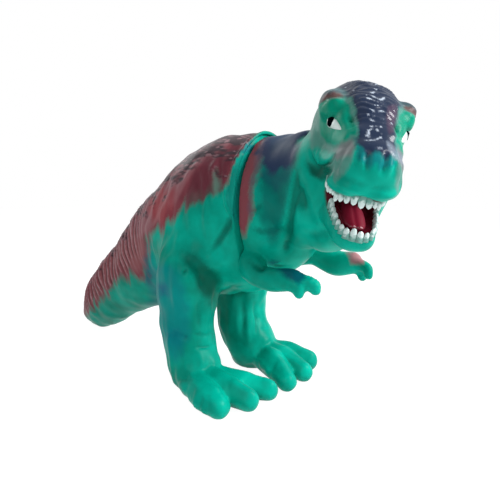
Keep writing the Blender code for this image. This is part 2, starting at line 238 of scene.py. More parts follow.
# Value noise, 0 to 1: random numbers on a grid of the given cell in millimetres, blended by 3t^2 - 2t^3.
def cloud(points, cell, seed=0):
    q = points / (np.array(cell, float) * 0.001) + 37.7 * seed + 500
    low = np.floor(q).astype(np.int64)
    t = q - low
    t = t * t * (3 - 2 * t)
    total = np.zeros(len(points))
    for dx, dy, dz in np.ndindex(2, 2, 2):
        n = (low[:, 0] + dx) * 374761 + (low[:, 1] + dy) * 668265 + (low[:, 2] + dz) * 2147483
        n = (n ^ (n >> 13)) * 1274126177 & 0x7FFFFFFF
        n = (n ^ (n >> 15)) & 0xFFFF
        weight = (np.where(dx, t[:, 0], 1 - t[:, 0]) * np.where(dy, t[:, 1], 1 - t[:, 1])
                  * np.where(dz, t[:, 2], 1 - t[:, 2]))
        total += weight * n / 0xFFFF
    return total


# Each point moves towards the middle of its neighbours by its weight, several times over.
def easeSkin(mesh, weight, passes):
    points = readPoints(mesh)[0]
    edges = np.empty(len(mesh.edges) * 2, np.int64)
    mesh.edges.foreach_get("vertices", edges)
    a, b = edges.reshape(-1, 2).T
    count = np.maximum(np.bincount(a, minlength=len(points)) + np.bincount(b, minlength=len(points)), 1)
    for _ in range(passes):
        for k in range(3):
            total = (np.bincount(a, points[b, k], len(points)) + np.bincount(b, points[a, k], len(points))) / count
            points[:, k] += weight * (total - points[:, k])
    writePoints(mesh, points)


# 0 below low, 1 above high, and 3t^2 - 2t^3 between them.
def easeStep(low, high, x):
    t = np.clip((x - low) / (high - low), 0, 1)
    return t * t * (3 - 2 * t)


# Distance from points to a line of straight stretches, and how far along it the nearest place is, 0 to 1.
def nearLine(points, line):
    best, share = np.full(len(points), 1e9), np.zeros(len(points))
    for k in range(len(line) - 1):
        run = line[k + 1] - line[k]
        t = np.clip((points - line[k]) @ run / max(run @ run, 1e-12), 0, 1)
        gap = np.linalg.norm(points - line[k] - t[:, None] * run, axis=1)
        closer = gap < best
        best[closer] = gap[closer]
        share[closer] = (k + t[closer]) / (len(line) - 1)
    return best, share


# Signed distance to an outline, positive inside: the nearest side, with its sign from crossings counted.
def insideBy(points, outline):
    outline = pairsOf(outline)
    closed = np.vstack((outline, outline[:1]))
    gap = nearLine(points, closed)[0]
    inside = np.zeros(len(points), bool)
    for a, b in zip(closed[:-1], closed[1:]):
        spans = (a[1] > points[:, 1]) != (b[1] > points[:, 1])
        cross = a[0] + (points[:, 1] - a[1]) * (b[0] - a[0]) / (b[1] - a[1] if b[1] != a[1] else 1e-9)
        inside ^= spans & (points[:, 0] < cross)
    return np.where(inside, gap, -gap)


# The far flank takes its marks from the near one, mirrored about the trunk's mid-plane.
def toNearSide(points):
    near = points.copy()
    near[:, 0] = figure["originSide"] - np.abs(points[:, 0] - figure["originSide"])
    return near


# How far a line presses the skin out, in metres: -depth * exp(-(distance / width)^2), fading at the line's ends.
# Width and depth are in millimetres.
def linePush(points, line, width, depth):
    gap, share = nearLine(points, line)
    fade = np.minimum(1, 0.35 + 2.6 * np.minimum(share, 1 - share))
    return -depth * 0.001 * fade * np.exp(-(gap / (width * 0.001)) ** 2)


# Painted shade in the carved folds: the deeper a groove, the darker its colour.
creaseShadeDepth = 0.0016  # where a fold is as dark as it gets


# The lines of both flanks are folded onto the near one; the others are on the side that the photograph shows.
def carve(thing, shape):
    mesh = thing.data
    points, normals = readPoints(mesh)
    tree = skinTree(thing)
    push = np.zeros(len(points))
    for key, places in (("bothFlanks", toNearSide(points)), ("oneSide", points)):
        for pixels, width, depth in shape[key].values():
            push += linePush(places, onSkin(tree, pairsOf(pixels)), width, depth)
    writePoints(mesh, points + normals * push[:, None])
    # The returned mask is painted shade: 0 on the open skin, 1 where a groove is as deep as that depth.
    return np.clip(-push / creaseShadeDepth, 0, 1)


# Rear casting
rearShape = {
    "grain": 0.00085, "passes": 4, "legSquare": 2.2, "toeSquare": 1.6,
    "hips": ((0, -0.12, 1.32, 0.35, 0.5), (0, 0.1, 1.305, 0.365, 0.535), (0, 0.4, 1.265, 0.42, 0.575),
        (0, 0.65, 1.185, 0.43, 0.55), (0, 0.95, 1.06, 0.39, 0.5)),
    "tail": ((0, 0.625, 0.475, 0.165, 0.215), (0, 0.775, 0.378, 0.145, 0.185), (0, 0.95, 0.288, 0.125, 0.16),
        (0.01, 1.12, 0.178, 0.11, 0.14), (0.035, 1.25, 0.105, 0.09, 0.105), (0.08, 1.39, 0.056, 0.055, 0.06),
        (0.12, 1.473, 0.038, 0.035, 0.04)),
    "leg": {
        -1: ((-0.18, 0.56, 1.06, 0.2, 0.2), (0.02, 0.51, 0.84, 0.2, 0.24), (0.04, 0.52, 0.64, 0.175, 0.205),
             (0.035, 0.54, 0.455, 0.165, 0.175), (0.03, 0.52, 0.29, 0.16, 0.17),
             (0.04, 0.45, 0.145, 0.155, 0.18)),
         1: ((-0.18, 0.56, 1.06, 0.2, 0.2), (0, 0.53, 0.84, 0.205, 0.24), (0, 0.56, 0.64, 0.19, 0.205),
             (-0.01, 0.58, 0.455, 0.18, 0.18), (-0.015, 0.55, 0.29, 0.175, 0.175),
             (0.01, 0.47, 0.145, 0.165, 0.185))},
    "toes": {
        -1: (((0.1, 0.84, 0.24, 0.32, 0.26), (0.08, 0.37, 0.19, 0.2, 0.22), (0.04, 0.04, 0.14, 0.16, 0.17)),
              ((0.22, 0.8, 0.22, 0.27, 0.24), (0.37, 0.47, 0.18, 0.22, 0.21), (0.43, 0.2, 0.14, 0.17, 0.17)),
              ((0.04, 0.8, 0.22, 0.24, 0.24), (-0.18, 0.37, 0.18, 0.19, 0.21), (-0.38, 0.04, 0.13, 0.15, 0.16))),
         1: (((0.06, 0.86, 0.24, 0.32, 0.26), (0.06, 0.37, 0.2, 0.2, 0.22), (0.04, 0.05, 0.14, 0.16, 0.17)),
              ((0.12, 0.84, 0.24, 0.24, 0.26), (0.28, 0.5, 0.22, 0.2, 0.24), (0.41, 0.21, 0.17, 0.16, 0.18)),
              ((0, 0.8, 0.22, 0.24, 0.24), (-0.22, 0.34, 0.18, 0.2, 0.21), (-0.4, 0.03, 0.13, 0.16, 0.16)))},
    # pixels of the photograph, across and down in turn, then width and depth in millimetres
    "bothFlanks": {
        "bellyFold": ((232, 214, 228, 226, 219, 240, 209, 254), 2, 1.6),
        "bellyPlate": ((222, 254, 231, 266, 236, 279), 6, -1.1),
        "thighFront": ((182, 252, 192, 261, 200, 272, 206, 284, 211, 299), 4.5, 2.2),
        "groin": ((205, 272, 212, 281, 218, 290), 4.5, 1.5),
        "thighPit": ((183, 270, 186, 273), 1.6, 1.2),
        "thighSwell": ((172, 262, 180, 284, 186, 306), 6, -0.9),
        "kneeFold": ((194, 346, 204, 347, 213, 345), 1.2, 0.8),
        "kneeFoldUp": ((192, 333, 203, 335, 212, 333), 1.4, 0.7),
        "kneePit": ((184, 336, 187, 338), 1.6, 0.8),
        "shinRidge": ((182, 350, 186, 368, 194, 386), 3, -0.8),
        "shinFold": ((164, 336, 176, 334, 186, 338), 2, 0.8),
        "shinFlute": ((199, 300, 200, 316, 201, 330), 2.4, 0.7),
        "ankleFold": ((176, 384, 186, 380, 196, 383), 1.7, 0.7),
        "flankFold": ((197, 172, 198, 190, 199, 210), 1.9, 0.8),
        "flankFoldTwo": ((206, 168, 208, 186, 209, 205), 1.9, 0.8),
        "flankFoldThree": ((217, 165, 218, 180, 220, 200), 1.9, 0.8),
        "flankFoldFour": ((184, 186, 184, 204, 182, 222), 2.1, 0.7),
        "bellyEdge": ((211, 303, 220, 294, 234, 287, 247, 284), 1.8, 0.8),
    },
    "oneSide": {
        "innerLegFlute": ((243, 300, 244, 318, 244, 335), 1.8, 0.9),
        "innerLegFluteTwo": ((254, 300, 256, 318, 256, 335), 1.8, 0.9),
        "toeRidgeOne": ((192, 384, 206, 396, 221, 409), 2.6, -1.1),
        "toeRidgeTwo": ((226, 379, 242, 388, 256, 397), 2.4, -1),
        "toeRidgeThree": ((246, 370, 262, 378, 275, 387), 2.4, -1),
        "toeRidgeFour": ((246, 356, 262, 366, 278, 381), 2.4, -1),
        "toeRidgeFive": ((262, 348, 285, 356, 306, 368), 2.4, -1),
        "toeRidgeSix": ((280, 346, 298, 349, 314, 354), 2, -0.8),
    },
    "rings": {
        "pitch": 0.0044, "height": 0.0011, "start": 0.014,
        "area": (262, 100, 60, 100, 60, 345, 84, 324, 93, 314, 103, 301, 114, 289, 126, 280, 139, 284, 151, 284,
                 151, 262, 150, 246, 152, 230, 160, 222, 168, 212, 182, 196, 200, 172, 226, 146)},
    # height above the ground against the band's width, both in millimetres
    "band": ((98, 0.6), (102, 1), (106, 3), (116, 5.4), (126, 4.2), (134, 2.2), (141, 1), (147, 0.6)),
    "flutes": {"cell": (3.6, 3.6, 24), "height": 0.0008}, "lumps": {"cell": (9, 9, 9), "height": 0.001},
    # where the thigh's join with the belly is eased: heights, distances behind the seam, and places along Y
    "join": {"foot": (0.05, 0.066), "top": (0.1, 0.08), "front": (0.004, 0.012), "back": (0.025, 0.01),
             "weight": 0.9, "passes": 90},
    # the casting's raised edge behind the band, and how far the band and its top are sunk
    "edge": {"height": 0.0008, "off": 0.0009, "wide": 0.0008, "sunk": 0.001, "topSunk": 0.0008},
}


# Rings round the tail: sharp ridges along its centre line, bent by noise, strongest over its top.
def tailRings(points, normals, centreLine):
    rings = rearShape["rings"]
    share = nearLine(points, centreLine)[1]
    length = np.linalg.norm(np.diff(centreLine, axis=0), axis=1).sum()
    back = points[:, 1]
    phase = (share * length + 0.0034 * cloud(points, (14, 14, 14), 3)) / rings["pitch"]
    ridge = 1 - np.abs(2 * (phase % 1) - 1)
    uneven = 0.45 + 0.75 * cloud(points, (7, 5, 9), 5)
    where = easeStep(-0.45, 0.2, normals[:, 2]) * easeStep(rings["start"] - 0.012, rings["start"] + 0.012, back)
    where *= easeStep(-5, 4, insideBy(toPhoto(toNearSide(points)), rings["area"]))
    where *= 1 - 0.7 * easeStep(0.146, 0.164, back)
    return ridge, np.clip(where * uneven, 0, 1)


# The band of bare vinyl beside the waist's seam, in metres: how far a point is behind the seam, and the width
# of the band there.
def seamBand(points):
    high, wide = np.array(rearShape["band"]).T * 0.001
    return points[:, 1] - waist.y - figure["seamGap"] / 2, np.interp(points[:, 2], high, wide)


# Flutes and lumps: noise stretched up and down the legs and flanks, and round noise for the hand-made swell.
def swell(points, spec):
    return (cloud(points, spec["cell"], 11) - 0.5) * 2 * spec["height"]


# A limb and its toes or fingers, on both sides.
def limbTubes(limb, digits, size, digitSize, spacing, square=2, digitSquare=2):
    made = []
    for side in (-1, 1):
        made.append(tube(rowsOf(limb[side], size, side, spacing), toToes, square))
        made += [tube(rowsOf(digit, digitSize, side, spacing), toToes, digitSquare) for digit in digits[side]]
    return made


def buildRear():
    seam = waist.y + figure["seamGap"] / 2
    body = np.vstack((rowsOf(rearShape["hips"], figure["trunk"]), rowsOf(rearShape["tail"], figure["tail"])))
    tubes = [tube(body, toToes, ringPoints=72)]
    tubes[0][0][:, 1] = np.maximum(tubes[0][0][:, 1], seam)
    tubes += limbTubes(rearShape["leg"], rearShape["toes"], figure["leg"], figure["foot"], figure["hips"],
                       rearShape["legSquare"], rearShape["toeSquare"])
    for points, _ in tubes:
        points[:, 2] = np.maximum(points[:, 2], 0)
    rear = blendSkin(joinTubes("rearCasting", tubes), rearShape["grain"], rearShape["passes"])
    points, join = readPoints(rear.data)[0], rearShape["join"]
    ahead = seam + np.array(join["front"])
    thigh = easeStep(*join["foot"], points[:, 2]) * easeStep(*ahead, points[:, 1])
    thigh *= easeStep(*join["top"], points[:, 2]) * easeStep(*join["back"], points[:, 1])
    easeSkin(rear.data, join["weight"] * thigh, join["passes"])
    # The mask that comes back is painted shade for the carved folds.
    crease = carve(rear, rearShape)
    points, normals = readPoints(rear.data)
    behind, wide = seamBand(points)
    flank, edge = easeStep(0.098, 0.104, points[:, 2]), rearShape["edge"]
    push = edge["height"] * flank * np.exp(-((behind - wide - edge["off"]) / edge["wide"]) ** 2)
    push -= edge["sunk"] * flank * easeStep(wide + 0.0003, wide - 0.0006, behind)
    push -= edge["topSunk"] * easeStep(0.134, 0.142, points[:, 2]) * easeStep(0.0016, 0.0002, behind)
    writePoints(rear.data, points + normals * push[:, None])
    points, normals = readPoints(rear.data)
    centreLine = smoothRows(body, 4)[:, :3] + np.array(toToes.translation)
    ridge, where = tailRings(points, normals, centreLine)
    low = easeStep(0.0, 0.004, points[:, 2]) * easeStep(seam, seam + 0.004, points[:, 1])
    push = (ridge ** 1.5 - 0.5) * where * rearShape["rings"]["height"]
    upright = easeStep(0.02, 0.004, points[:, 1]) * easeStep(0.75, 0.35, np.abs(normals[:, 2]))
    push += swell(points, rearShape["flutes"]) * low * upright + swell(points, rearShape["lumps"]) * low
    writePoints(rear.data, points + normals * push[:, None])
    # The layer of painted shade in the carved folds.
    writeLayers(rear.data, {"crease": crease})
    return rear, ridge, where, offMiddle(points, smoothRows(body, 4))


# A table's columns at shares of the way along it.
def rowsAt(rows, share):
    stations = np.linspace(0, 1, len(rows))
    return np.stack([np.interp(share, stations, column) for column in rows.T], 1)


# How far a point is from the middle of the back, as a share of the half width there.
def offMiddle(points, rows):
    local = points - np.array(toToes.translation)
    there = rowsAt(rows, nearLine(local, rows[:, :3])[1])
    return np.abs(local[:, 0] - there[:, 0]) / there[:, 3]


rear, ridge, ringsWhere, offBack = buildRear()
print("rear casting", len(rear.data.polygons))

# Front casting
frontShape = {
    "grain": 0.00075, "passes": 4, "headSquare": 2.4, "mouthSquare": 2.6, "browSquare": 2.5,
    "chest": ((-0.19, -0.62, 1.6, 0.25, 0.28), (-0.1, -0.45, 1.465, 0.28, 0.34),
        (-0.03, -0.25, 1.44, 0.295, 0.37), (0, -0.08, 1.44, 0.315, 0.36), (0.01, 0.1, 1.345, 0.335, 0.495),
        (0.01, 0.4, 1.3, 0.34, 0.55)),
    "arms": {
        -1: ((-0.14, 0.25, 1.97, 0.2, 0.22), (0.02, -0.05, 1.85, 0.17, 0.18), (0.1, -0.35, 1.8, 0.14, 0.15),
             (0.1, -0.7, 1.84, 0.12, 0.13)),
         1: ((-0.14, 0.25, 1.97, 0.2, 0.22), (0.04, -0.15, 2, 0.16, 0.17), (0.12, -0.46, 1.87, 0.16, 0.19),
             (0.13, -0.74, 1.9, 0.13, 0.16))},
    "fingers": {
        -1: (((0.08, -0.7, 1.84, 0.09, 0.1), (0.04, -0.9, 1.8, 0.08, 0.08), (0.02, -0.94, 1.74, 0.07, 0.07)),
              ((0.14, -0.66, 1.8, 0.09, 0.1), (0.14, -0.78, 1.76, 0.08, 0.08), (0.14, -0.8, 1.69, 0.07, 0.07))),
         1: (((0.11, -0.74, 1.9, 0.09, 0.1), (0.07, -0.97, 1.86, 0.08, 0.08), (0.05, -1.01, 1.76, 0.07, 0.07)),
              ((0.17, -0.71, 1.87, 0.09, 0.1), (0.17, -0.85, 1.8, 0.08, 0.08), (0.17, -0.86, 1.71, 0.07, 0.07)))},
    "skull": ((-0.02, 0.48, -0.12, 0.28, 0.3), (-0.01, 0.25, 0.02, 0.29, 0.32), (0, 0, 0, 0.25, 0.29),
        (0, -0.2, -0.11, 0.225, 0.24), (0, -0.36, -0.2, 0.22, 0.215), (0, -0.42, -0.22, 0.215, 0.19)),
    "lip": ((0.17, 0.12, -0.17, 0.06, 0.1), (0.19, -0.15, -0.24, 0.06, 0.1), (0.17, -0.38, -0.29, 0.075, 0.09),
        (0.09, -0.495, -0.31, 0.09, 0.09)),
    "brow": ((0.17, 0.22, 0.13, 0.12, 0.13), (0.24, 0.05, 0.145, 0.095, 0.105),
        (0.222, -0.09, 0.12, 0.075, 0.08)),
    "temple": ((0.215, 0.36, 0, 0.11, 0.22), (0.2, 0.16, 0, 0.08, 0.16), (0.17, 0, -0.04, 0.06, 0.1)),
    "cheek": ((0.18, 0.35, -0.12, 0.1, 0.16), (0.21, 0.22, -0.26, 0.09, 0.13), (0.19, 0.17, -0.34, 0.07, 0.09)),
    "muscle": ((0.22, 0.4, -0.12, 0.1, 0.16), (0.18, 0.42, -0.5, 0.12, 0.16), (0.14, 0.5, -0.8, 0.14, 0.15)),
    "jaw": ((0.03, 0.38, -0.4, 0.22, 0.2), (0.06, 0.12, -0.53, 0.2, 0.17), (0.06, -0.08, -0.63, 0.18, 0.14),
        (0.06, -0.22, -0.68, 0.15, 0.11)),
    "throat": ((0, 0.22, -0.6, 0.2, 0.18), (0, 0.44, -0.76, 0.24, 0.22), (0, 0.62, -0.78, 0.25, 0.22)),
    "mouth": ((0.03, 0.16, -0.36, 0.13, 0.07), (0.05, -0.05, -0.46, 0.145, 0.11),
        (0.06, -0.22, -0.51, 0.14, 0.125), (0.06, -0.7, -0.57, 0.16, 0.17)),
    "lumps": {"cell": (8, 8, 10), "height": 0.0006}, "rim": {"height": 0.0024, "reach": 0.011},
    "scales": {"pitch": 0.0023, "height": 0.0006},
    "bothFlanks": {
        "shoulderCrease": ((296, 172, 294, 190, 291, 212, 289, 234, 287, 250), 2.2, 1.7),
        "shoulderHollow": ((298, 184, 301, 198, 303, 212), 4.6, 1.7),
        "shoulderFoot": ((288, 240, 286, 252), 2.6, 1.1),
        "sideFold": ((252, 229, 262, 233, 275, 232, 286, 228), 2.4, 1.1),
        "sideSwell": ((256, 244, 270, 246, 282, 244), 5, -0.9),
        "wrinklePit": ((252, 213, 256, 209, 262, 204), 1.5, 1),
        "backFold": ((262, 176, 276, 190, 280, 206), 4, 0.9),
    },
    "oneSide": {
        "armRoot": ((250, 262, 262, 268, 276, 267, 288, 266), 2.2, 1.3),
        "neckLobe": ((309, 180, 314, 194, 320, 210, 326, 224), 5, -1.7),
        "neckEdge": ((331, 232, 322, 236, 308, 236), 3, 0.9),
        "cheekRecess": ((306, 164, 314, 172, 324, 172, 331, 166), 2.8, 2.2),
        "cheekRecessDown": ((324, 174, 328, 186, 331, 200), 2.4, 1.4),
    },
}


def toHead(points):
    inverse = np.array(headFrame.inverted())
    return (points @ inverse[:3, :3].T + inverse[:3, 3]) / figure["head"]


def fromHead(shares):
    place = np.array(headFrame)
    return (shares * figure["head"]) @ place[:3, :3].T + place[:3, 3]


# Marks on both sides of the head: pixels on its near side, width and depth in millimetres.
headMarks = {
    "eyeMound": ((332, 106, 336, 118, 335, 132), 5.2, -1.3),
    "moundEdge": ((344, 100, 350, 108, 351, 120, 353, 132, 350, 140, 342, 146, 331, 147, 322, 142), 1.6, 0.7),
    "moundBack": ((322, 142, 318, 132, 317, 118, 320, 107), 1.8, 0.3),
    "browEdge": ((321, 105, 327, 98, 336, 96, 346, 98), 1.2, 0.7),
    "browRidge": ((324, 99, 333, 92, 345, 91), 1.6, -0.8),
    "eyeLid": ((327, 117, 332, 114, 339, 119, 343, 128), 0.8, 0.5),
    "eyePit": ((350, 118, 353, 119), 1.2, 1.6),
    "nostrilSwell": ((354, 126, 355, 134), 2.2, -0.7),
    "hookEdge": ((311, 151, 313, 160, 319, 167, 327, 163, 333, 156), 1.0, 1.5),
    "hookSwell": ((316, 154, 324, 155), 3.0, -1.0),
    "snoutSide": ((352, 142, 342, 152, 336, 164, 334, 176), 2.0, 1.0),
    "snoutTop": ((356, 150, 350, 158, 346, 168), 2.6, -0.7),
    "lipEdge": ((331, 176, 340, 185, 350, 190, 363, 194, 372, 196), 1.0, -0.6),
    "lipGroove": ((336, 172, 346, 180, 358, 184, 370, 186), 1.8, 0.6),
    "noseCrease": ((368, 151, 367, 160, 366, 170), 1.0, 1.1),
    "noseCreaseTwo": ((358, 152, 355, 160, 354, 168), 1.0, 0.8),
    "noseSwell": ((362, 158, 361, 166), 1.8, -0.6),
}


# The near side of the head, mirrored about its own mid-plane: the point's left share is made negative.
def toNearCheek(points):
    local = toHead(points)
    local[:, 0] = -np.abs(local[:, 0])
    return fromHead(local)


def carveHead(thing):
    mesh = thing.data
    tree = skinTree(thing)
    points, normals = readPoints(mesh)
    near = toNearCheek(points)
    push = np.zeros(len(points))
    for pixels, width, depth in headMarks.values():
        push += linePush(near, onSkin(tree, smoothRows(pairsOf(pixels), 3)), width, depth)
    # Painted shade in the head's carved grooves, darker the deeper they are.
    crease = np.clip(-push / creaseShadeDepth, 0, 1)
    left, back = toHead(points).T[:2]
    crown = easeStep(0.2, 0.12, np.abs(left)) * easeStep(-0.42, -0.3, back) * easeStep(0.6, 0.4, back)
    crown *= easeStep(0.1, 0.4, normals @ np.array(headFrame)[:3, 2])
    crown *= frontShape["scales"]["height"]
    push += crown * scaleRidge(points, back) * (0.2 + cloud(points, (2.4, 2.4, 2.4), 13))
    writePoints(mesh, points + normals * push[:, None])
    return crease


# Scales on the crown: a triangle wave along the head, bent by noise, 0 to 1.
def scaleRidge(points, back):
    phase = back * figure["head"] / frontShape["scales"]["pitch"] + 1.7 * cloud(points, (4, 4, 4), 12)
    return 1 - np.abs(2 * (phase % 1) - 1)


def headTubes(keys):
    made = []
    for key, sides, square in keys:
        for side in sides:
            made.append(tube(rowsOf(frontShape[key], figure["head"], side), headFrame, square))
    return made


def buildFront():
    seam = waist.y - figure["seamGap"] / 2
    tubes = [tube(rowsOf(frontShape["chest"], figure["trunk"]), toToes, ringPoints=72)]
    tubes += limbTubes(frontShape["arms"], frontShape["fingers"], figure["arm"], figure["arm"],
                       figure["shoulders"])
    for points, _ in tubes:
        points[:, 1] = np.minimum(points[:, 1], seam)
    tubes += headTubes((("skull", (0,), frontShape["headSquare"]), ("lip", (-1, 1), 2), ("temple", (-1, 1), 2),
                        ("brow", (-1, 1), frontShape["browSquare"]), ("cheek", (-1, 1), 2), ("muscle", (-1, 1), 2),
                        ("jaw", (0,), frontShape["headSquare"]), ("throat", (0,), 2)))
    hole = joinTubes("mouthHole", headTubes((("mouth", (0,), frontShape["mouthSquare"]),)))
    front = blendSkin(joinTubes("frontCasting", tubes), frontShape["grain"], frontShape["passes"], hole)
    bpy.data.objects.remove(hole)
    points = readPoints(front.data)[0]
    back, up = toHead(points).T[1:]
    face = easeStep(1.1, 0.7, back) * easeStep(-0.52, -0.4, up + 0.12 * (back + 0.4)) * easeStep(-0.5, -0.3, up)
    easeSkin(front.data, 0.7 * np.maximum(face, 0.5 * easeStep(1.2, 0.8, back)), 9)
    # The masks that come back are painted shade for the carved folds of body and head.
    crease = np.maximum(carve(front, frontShape), carveHead(front))
    points, normals = readPoints(front.data)
    inside = easeStep(seam, seam - 0.004, points[:, 1])
    rim = frontShape["rim"]
    top = easeStep(0.2, 0.9, normals[:, 2]) * np.exp(-((seam - points[:, 1]) / rim["reach"]) ** 2)
    top *= easeStep(0.13, 0.14, points[:, 2])
    points[:, 2] += rim["height"] * top
    writePoints(front.data, points + normals * (swell(points, frontShape["lumps"]) * inside)[:, None])
    # The layer of painted shade in the carved folds.
    writeLayers(front.data, {"crease": crease})
    return front


# How far a point is outside the mouth's hollow: its place across and up from the hollow's centre line, each over
# the half size there, to the section's power, less 1, times the half height.
def outsideMouth(points):
    rows = smoothRows(frontShape["mouth"], 12)
    local = toHead(points)
    gap, share = nearLine(local, rows[:, :3])
    middle, _, _, halfWide, halfHigh = rowsAt(rows, share).T
    across = np.abs(local[:, 0] - middle)
    high = np.sqrt(np.maximum(gap ** 2 - across ** 2, 0))
    power = frontShape["mouthSquare"]
    size = ((across / halfWide) ** power + (high / halfHigh) ** power) ** (1 / power)
    return np.abs(size - 1) * halfHigh * figure["head"] + 10 * (size > 1.5)


front = buildFront()
mouthGap = outsideMouth(readPoints(front.data)[0])
print("front casting", len(front.data.polygons))


# Paint
# Sprayed areas, and two areas of painted shade, on the belly under the thigh and in the hollow under the cheek's
# hook: an outline in pixels of the photograph, how soft its edge is and how far noise breaks it up, both in pixels.
# Streaks run down the body, clouds are round.
rearPaint = {
    "maroon": ([262, 110, 60, 110, 60, 345, 84, 326, 93, 314, 103, 300, 114, 286, 126, 276, 139, 281, 149, 284,
        149, 266, 146, 250, 152, 236, 160, 230, 168, 222, 178, 214, 188, 206, 196, 198, 208, 190, 218, 186, 230,
        190, 240, 168, 250, 151, 262, 132], 10, 15, "streak"),
    "darkMaroon": ([250, 136, 206, 158, 192, 176, 182, 198, 186, 212, 204, 200, 224, 190, 225, 180, 231, 166,
        241, 150], 5, 9, "streak"),
    "mauve": ([160, 182, 190, 158, 222, 140, 236, 140, 214, 156, 196, 166, 186, 184, 170, 206, 148, 232, 134,
        246, 128, 262, 112, 266, 128, 232, 146, 204], 5, 9, "streak"),
    "red": ([151, 196, 160, 188, 171, 192, 170, 208, 163, 220, 154, 222, 149, 210], 9, 12, "streak"),
    "salmon": ([140, 236, 150, 250, 140, 268, 120, 270, 104, 286, 92, 304, 86, 300, 100, 268, 116, 246, 130,
        226], 8, 9, "streak"),
    "blueMist": ([140, 250, 150, 244, 156, 262, 170, 266, 186, 286, 190, 330, 182, 352, 164, 345, 150, 310, 150,
        288, 146, 276], 10, 8, "cloud"),
    "blueDeep": ([141, 238, 147, 246, 151, 268, 154, 286, 146, 282, 139, 258], 5, 4, "cloud"),
    "purple": ([158, 285, 166, 285, 167, 295, 160, 297], 8, 6, "cloud"),
    "blueShin": ([162, 336, 178, 330, 184, 344, 176, 360, 166, 356], 9, 6, "cloud"),
    # painted shadow of the thigh on the belly
    "shade": ([193, 268, 206, 266, 218, 274, 223, 288, 214, 300, 206, 290], 6, 5, "cloud"),
    "finger": ([212, 172, 217, 168, 221, 186, 217, 196, 211, 188], 6, 10, "streak"),
}
frontPaint = {
    "deepTeal": ([256, 190, 264, 168, 286, 166, 300, 176, 312, 196, 306, 222, 294, 240, 270, 240, 255, 222], 15,
        12, "cloud"),
    "tealFade": ([258, 156, 266, 150, 292, 150, 298, 162, 290, 182, 276, 188, 263, 178], 8, 9, "cloud"),
    "greyGreen": ([296, 128, 316, 108, 322, 150, 312, 178, 300, 180, 290, 160], 8, 7, "cloud"),
    "maroon": ([262, 120, 271, 134, 269, 150, 260, 164, 253, 178, 251, 194, 253, 210, 250, 222, 243, 238, 236,
        226, 233, 200, 232, 178, 240, 152, 254, 134], 6, 5, "streak"),
    "maroonFade": ([268, 132, 272, 148, 262, 166, 256, 182, 253, 200, 255, 216, 250, 226, 246, 208, 247, 184,
        254, 160], 5, 6, "cloud"),
    "navy": ([268, 120, 264, 142, 258, 154, 262, 165, 276, 171, 292, 168, 298, 154, 308, 140, 318, 124, 300,
        110], 7, 9, "cloud"),
    "forearm": ([270, 262, 286, 262, 301, 267, 305, 278, 299, 284, 284, 276], 6, 5, "patch"),
    "wrist": ([346, 252, 357, 252, 366, 258, 364, 264, 352, 263], 5, 4, "patch"),
}
headPaint = {
    "mist": ([309, 128, 313, 116, 317, 102, 326, 90, 340, 86, 350, 96, 360, 104, 360, 140, 354, 148, 352, 160,
        344, 174, 334, 182, 330, 168, 333, 153, 326, 150, 318, 147, 311, 151, 308, 148], 4, 4, "cloud"),
    "mound": ([322, 101, 334, 98, 343, 99, 349, 105, 350, 113, 353, 122, 357, 127, 356, 135, 350, 135, 348, 140,
        344, 144, 336, 144, 327, 142, 321, 134, 319, 120, 319, 108], 2.5, 2.5, "cloud"),
    "browWash": ([312, 104, 318, 90, 332, 78, 348, 80, 354, 96, 347, 98, 336, 93, 324, 98, 318, 104], 4, 3,
        "cloud"),
    "browRed": ([320, 102, 325, 95, 334, 92, 342, 93, 344, 97, 338, 98, 328, 99], 3, 2.5, "cloud"),
    "headNavy": ([318, 86, 330, 84, 341, 90, 350, 98, 356, 106, 357, 122, 358, 134, 354, 146, 357, 146, 362,
        150, 367, 158, 372, 155, 376, 152, 384, 154, 392, 148, 400, 120, 400, 70, 320, 70], 4, 5, "cloud"),
    "noseFade": ([354, 138, 390, 138, 396, 152, 386, 163, 376, 164, 370, 170, 364, 164, 357, 158], 5, 4,
        "cloud"),
    "nosePink": ([341, 142, 352, 139, 357, 147, 352, 155, 343, 156, 337, 160, 334, 158, 336, 150], 5, 3,
        "cloud"),
    # painted shade in the hollow under the cheek's hook
    "recess": ([308, 163, 316, 168, 324, 166, 331, 160, 331, 176, 322, 182, 310, 174], 4, 2, "cloud"),
    "farMauve": ([386, 140, 392, 144, 399, 152, 408, 161, 405, 166, 394, 159, 388, 151], 3, 2, "patch"),
    "farDark": ([388, 106, 396, 104, 398, 114, 394, 132, 389, 134, 386, 118], 3, 2, "patch"),
}


# Points are folded onto the side that the photograph shows, apart from the patches, which only one side has.
def sprayMasks(points, near, paint):
    folded, own = toPhoto(near), toPhoto(points)
    streak = cloud(near, (20, 3.4, 26), 1) + 0.3 * cloud(near, (9, 1.5, 12), 2) - 0.65
    puff = cloud(near, (7, 7, 7), 4) + 0.5 * cloud(near, (3, 3, 3), 6) - 0.75
    masks = {}
    for name, (outline, soft, broken, kind) in paint.items():
        edge = insideBy(own if kind == "patch" else folded, outline)
        edge += broken * (streak if kind == "streak" else puff)
        masks[name] = easeStep(-soft, soft, edge)
    return masks


